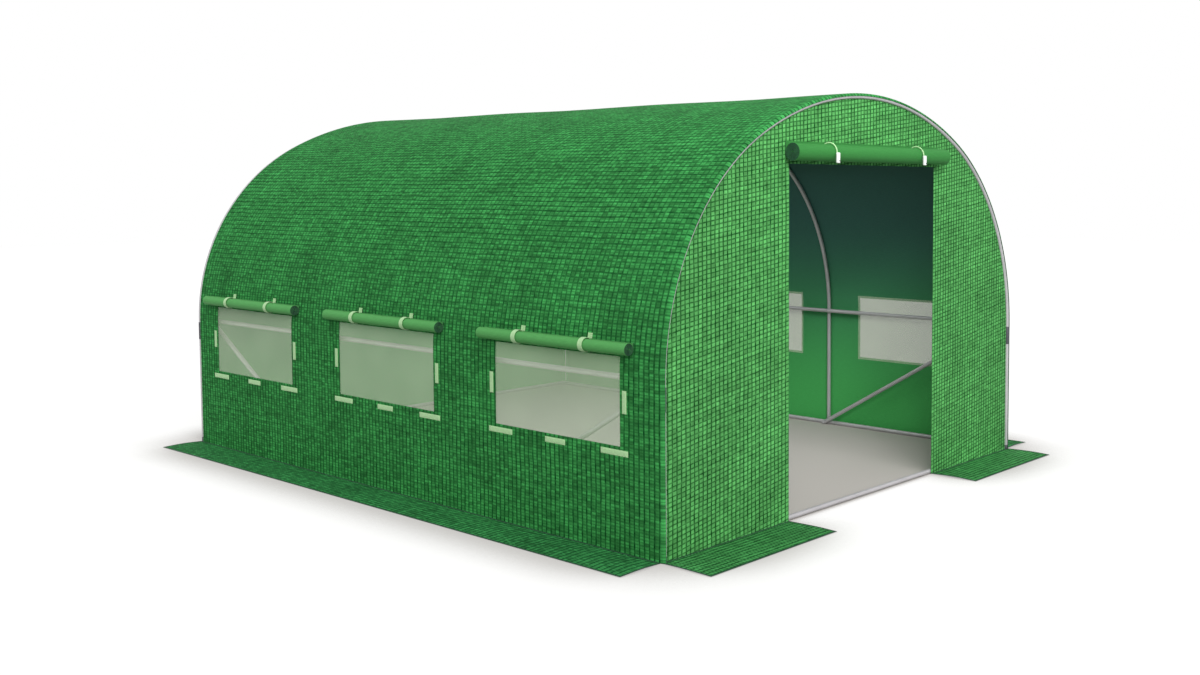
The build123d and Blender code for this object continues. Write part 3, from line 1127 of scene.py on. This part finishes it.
class TUNNEL_OT_tabs(bpy.types.Operator):
    """Sews the fastening tabs round the windows"""

    bl_idname = "tunnel.tabs"
    bl_label = "Window tabs"

    def execute(self, context):
        scene = context.scene
        trim = scene.tunnel_trim
        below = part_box("left_window_tabs")[0].z + trim.tab_width / 2
        beside = WINDOW_HALF + trim.tab_gap + trim.tab_width / 2
        middle = (SILL + LINTEL) / 2
        corner = WINDOW_HALF + trim.corner_overhang - trim.corner_tab / 2
        kinds = [
            (self.tab(scene, trim.corner_tab), ((-corner, below, 0), (corner, below, 0))),
            (self.tab(scene, trim.middle_tab), ((0, below, 0),)),
            (self.tab(scene, trim.side_tab), ((-beside, middle, pi / 2), (beside, middle, pi / 2))),
        ]
        for side_name, side in SIDES.items():
            made = []
            for tab, spots in kinds:
                places = []
                for y in WINDOW_YS:
                    for along, z, lean in spots:
                        place = (side * (HALF_WIDTH + GAP), y + along, z)
                        places.append(axes(side * Y_AXIS, Z_AXIS, side * X_AXIS, place) @ turned(lean, "Z"))
                made.append(copies(tab, places, "tabs"))
            finish(join(made, f"{side_name}_tabs"), "webbing", f"{side_name}_window_tabs")
        discard(*(tab for tab, spots in kinds))
        return {"FINISHED"}

    def tab(self, scene, size):
        """One tab flat on the XY plane, with a row of stitches near its edge."""
        trim = scene.tunnel_trim
        width, edge = trim.tab_width, 0.0035
        rise, body = trim.webbing * 0.35, trim.webbing * 0.6
        tab = lone_grid("tab", 8, 3, (size, width))
        bpy.ops.mesh.inset(thickness=edge)
        grow((0, 0, rise))
        close(tab, lambda place: Z_AXIS)
        map_cut(tab, lambda place: (place.y, place.x))
        thicken(tab, body, 1, webbing_finish(scene))
        modify(tab, "BEVEL", width=0.0003, segments=2, limit_method="ANGLE", angle_limit=radians(50))
        smooth(tab)

        thread = (trim.stitch, 0.0008, 0.0006)
        stitch = lone("cube", "stitch", size=1, stretch=thread, location=(0, 0, trim.webbing))
        soften_edges(0.0002)
        close(stitch)
        map_cut(stitch, lambda place: (place.y, place.x))
        coat(stitch, kept(moulded, "sewing_thread", trim.thread_colour, roughness=0.6))
        seam = 0.0048  # from the tab's edge
        end, side = size / 2 - seam, width / 2 - seam
        pitch = trim.stitch * 1.5
        along, across = int(2 * end / pitch), int(2 * side / pitch)
        rows = [moved(end * (2 * i / along - 1), side * s) for i in range(along + 1) for s in (-1, 1)]
        for i in range(1, across):
            y = side * (2 * i / across - 1)
            rows += [moved(end * s, y) @ turned(pi / 2, "Z") for s in (-1, 1)]
        stitches = copies(stitch, rows, "stitches")
        discard(stitch)
        return join([tab, stitches], "tab")


class TUNNEL_OT_ties(bpy.types.Operator):
    """Ties the rolled door flap up with elastic loops and toggles"""

    bl_idname = "tunnel.ties"
    bl_label = "Door ties and toggles"

    def execute(self, context):
        trim = context.scene.tunnel_trim
        low, high, middle = span("door_toggles")
        radius = (high.y - low.y) / 2
        toggle = self.toggle(radius, high.z - low.z)
        coat(toggle, kept(moulded, "moulded_white", trim.toggle_colour), dark_plastic_and_hole_shade(context.scene))
        tie = coat(self.tie(trim.cord_radius), webbing_finish(context.scene))
        xs = (low.x + radius, high.x - radius)
        toggles = copies(toggle, [moved(x, middle.y, middle.z) for x in xs], "door_toggle_pair")
        finish(toggles, "toggle_plastic", "door_toggles")
        finish(copies(tie, [moved(x) for x in xs], "door_tie_pair"), "webbing", "door_ties")
        discard(toggle, tie)
        return {"FINISHED"}

    def toggle(self, radius, height):
        """A barrel with rounded ends and a cross hole near its foot."""
        hole_radius, hole_z = 0.0036, 0.010 - height / 2
        barrel = lone("cylinder", "toggle", vertices=32, radius=radius, depth=height)
        pick(barrel, lambda place: abs(place.z) > height / 2 - NEAR, "FACE")
        soften_edges(0.004, segments=4)
        close(barrel)
        hole = lone(
            "cylinder", "hole", vertices=20, radius=hole_radius, depth=radius * 4,
            rotation=(pi / 2, 0, 0), location=(0, 0, hole_z),
        )
        close(hole)
        modify(barrel, "BOOLEAN", object=hole, operation="DIFFERENCE", solver="EXACT")
        discard(hole)
        # The hole's inside takes the dark plastic: painted shade in the hole.
        for polygon in barrel.data.polygons:
            x, y, z = polygon.center
            in_hole = hypot(x, z - hole_z) < hole_radius + 0.0002 and abs(y) < radius - 0.0005
            polygon.material_index = int(in_hole)
        smooth(barrel)
        return barrel

    def tie(self, cord):
        """An elastic cord from the wall, over the roll and down to its toggle, at x = 0."""
        wall_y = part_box("door_ties")[1].y - cord
        low, high, centre = span("door_roll")
        ring = (high.z - low.z) / 2 + GAP + cord
        rise = sqrt(ring**2 - (wall_y - centre.y) ** 2)
        lean = atan2(rise, wall_y - centre.y)
        start = (0, wall_y, centre.z + rise)
        tie = lone("circle", "tie", vertices=12, radius=cord, location=start, rotation=(lean, 0, 0))
        turn(pi - lean, (0, centre.y, centre.z), X_AXIS, steps=30)
        pick_all()
        bpy.ops.mesh.edge_face_add()
        close(tie)
        map_cut(tie, lambda place: (place.x, hypot(place.y, place.z)))
        smooth(tie)
        return tie


# Each lamp's kind, place, what it points at, and its own settings. Its strength is the setting of its name.
LAMPS = {
    "key": ("SUN", (-0.45, -0.75, 0.62), (0, 0, 0), {"angle": radians(50)}),
    "door_light": (
        "SPOT", (-3.7, -5.2, 3.5), (0.1, -2, 0.5),
        {"shadow_soft_size": 0.5, "spot_size": radians(34), "spot_blend": 1.0},
    ),
    "top_light": (
        "SPOT", (-3.0, -6.0, 4.6), (-0.1, -1.9, 2.05),
        {"shadow_soft_size": 0.8, "spot_size": radians(28), "spot_blend": 1.0},
    ),
    "fill": ("AREA", (0, 0.1, 1.7), (0, 0.1, 0), {"shape": "RECTANGLE", "size": 1.6, "size_y": 3.2}),
}
CAMERA_PLACE = (-5.197, -5.579, 1.577)
CAMERA_DIP, CAMERA_HEADING = radians(3.49), radians(50.45)
CAMERA_SHIFT = (-2 / 15, -0.0615)  # as a share of the sensor's width


class TUNNEL_OT_stage(bpy.types.Operator):
    """Sets up the floor, the light and the camera"""

    bl_idname = "tunnel.stage"
    bl_label = "Stage"

    def execute(self, context):
        stage = context.scene.tunnel_stage
        floor = lone("plane", "floor", size=60, location=(0, 0, -0.0005))
        close(floor, lambda place: Z_AXIS)
        coat(floor, self.pale_floor(stage))
        floor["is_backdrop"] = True
        self.sky(context.scene, stage.sky)
        for name in LAMPS:
            self.lamp(context, name, getattr(stage, name))
        self.camera(context, stage.lens)
        context.scene.view_settings.view_transform = "Standard"
        return {"FINISHED"}

    def pale_floor(self, stage):
        """Plain floor, a shade darker next to what lies on it, that glows where it is seen from outside."""
        white = (1, 1, 1, 1)
        material, tree = fresh("pale_floor", Roughness=0.9, Specular_IOR_Level=0.0, Emission_Color=white)
        sky_share = node(tree, "AmbientOcclusion", {"Distance": 0.6}, samples=16).outputs["AO"]
        clear = ramp(tree, sky_share, 0.78, 0.97, 0.0, 1.0)
        outside = self.outside(tree)
        tone = mixed(tree, "MIX", clear, rgba(stage.floor_shade), rgba(stage.floor_colour))
        tone = mixed(tree, "MIX", outside, rgba(stage.floor_inside), tone)
        glow = ramp(tree, clear, 0.0, 1.0, stage.glow * 0.55, stage.glow)
        for share in (outside, self.seen(tree)):
            glow = reckon(tree, "MULTIPLY", glow, share)
        on_surface(tree, "Emission Strength", glow)
        return dressed(material, tone)

    def outside(self, tree):
        """1 on the floor round the tunnel, 0 on the floor in it."""
        place = node(tree, "VectorMath", {0: in_space(tree)}, operation="ABSOLUTE").outputs[0]
        past = reckon(tree, "SUBTRACT", place, (HALF_WIDTH, BACK_Y, 0), "VectorMath")
        parts = node(tree, "SeparateXYZ", {0: past}).outputs
        return reckon(tree, "GREATER_THAN", reckon(tree, "MAXIMUM", parts["X"], parts["Y"]), 0.0)

    def seen(self, tree):
        """1 for a ray from the camera or by way of metal, 0 for light on the tunnel or seen through film."""
        path = node(tree, "LightPath").outputs
        open_air = reckon(tree, "LESS_THAN", path["Transparent Depth"], 0.5)
        seen = reckon(tree, "MULTIPLY", path["Is Camera Ray"], open_air)
        for ray in ("Is Glossy Ray", "Is Transmission Ray"):
            seen = reckon(tree, "MAXIMUM", seen, path[ray])
        return seen

    def sky(self, scene, strength):
        """Even light on the tunnel, and plain white behind it."""
        scene.world = bpy.data.worlds.new("studio")
        scene.world.use_nodes = True
        tree = scene.world.node_tree
        tree.nodes.clear()
        light, white = (
            node(tree, "Background", {"Color": (1, 1, 1, 1), "Strength": value}).outputs[0]
            for value in (strength, 1.0)
        )
        both = node(tree, "MixShader", {0: self.seen(tree), 1: light, 2: white})
        node(tree, "OutputWorld", {"Surface": both.outputs[0]})

    def lamp(self, context, name, strength):
        kind, place, target, settings = LAMPS[name]
        light = bpy.data.lights.new(name, kind)
        light.energy = strength
        for setting, value in settings.items():
            setattr(light, setting, value)
        lamp = bpy.data.objects.new(name, light)
        context.collection.objects.link(lamp)
        lamp.location = place
        lamp.rotation_euler = (Vector(place) - Vector(target)).to_track_quat("Z", "Y").to_euler()

    def camera(self, context, focal_length):
        lens = bpy.data.cameras.new("camera")
        lens.lens, lens.sensor_width = focal_length, 36
        lens.shift_x, lens.shift_y = CAMERA_SHIFT
        camera = bpy.data.objects.new("camera", lens)
        context.collection.objects.link(camera)
        camera.location = CAMERA_PLACE
        camera.rotation_euler = (pi / 2 - CAMERA_DIP, 0, -CAMERA_HEADING)
        context.scene.camera = camera


OPERATORS = (
    TUNNEL_OT_stage,
    TUNNEL_OT_frame,
    TUNNEL_OT_fittings,
    TUNNEL_OT_cover,
    TUNNEL_OT_end_walls,
    TUNNEL_OT_skirts,
    TUNNEL_OT_panes,
    TUNNEL_OT_door_flap,
    TUNNEL_OT_window_covers,
    TUNNEL_OT_straps,
    TUNNEL_OT_tabs,
    TUNNEL_OT_ties,
)


class TUNNEL_PT_panel(bpy.types.Panel):
    """Lists the tunnel's pieces and their settings"""

    bl_label = "Polytunnel"
    bl_idname = "TUNNEL_PT_panel"
    bl_space_type = "VIEW_3D"
    bl_region_type = "UI"
    bl_category = "Polytunnel"

    def draw(self, context):
        for operator in OPERATORS:
            self.layout.operator(operator.bl_idname)
        for name, group in SETTINGS.items():
            box = self.layout.box()
            settings = getattr(context.scene, name)
            for field in group.__annotations__:
                box.prop(settings, field)


def register():
    for cls in (*SETTINGS.values(), *OPERATORS, TUNNEL_PT_panel):
        bpy.utils.register_class(cls)
    for name, group in SETTINGS.items():
        setattr(bpy.types.Scene, name, PointerProperty(type=group))


def unregister():
    for name in SETTINGS:
        delattr(bpy.types.Scene, name)
    for cls in (TUNNEL_PT_panel, *reversed(OPERATORS), *SETTINGS.values()):
        bpy.utils.unregister_class(cls)


def main():
    register()
    for operator in OPERATORS:
        group, name = operator.bl_idname.split(".")
        getattr(getattr(bpy.ops, group), name)()
    boxes = {"cad": CAD_BOX, "visual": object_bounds()}
    {name: [list(corner) for corner in box] for name, box in boxes.items()}


if __name__ == "__main__":
    main()
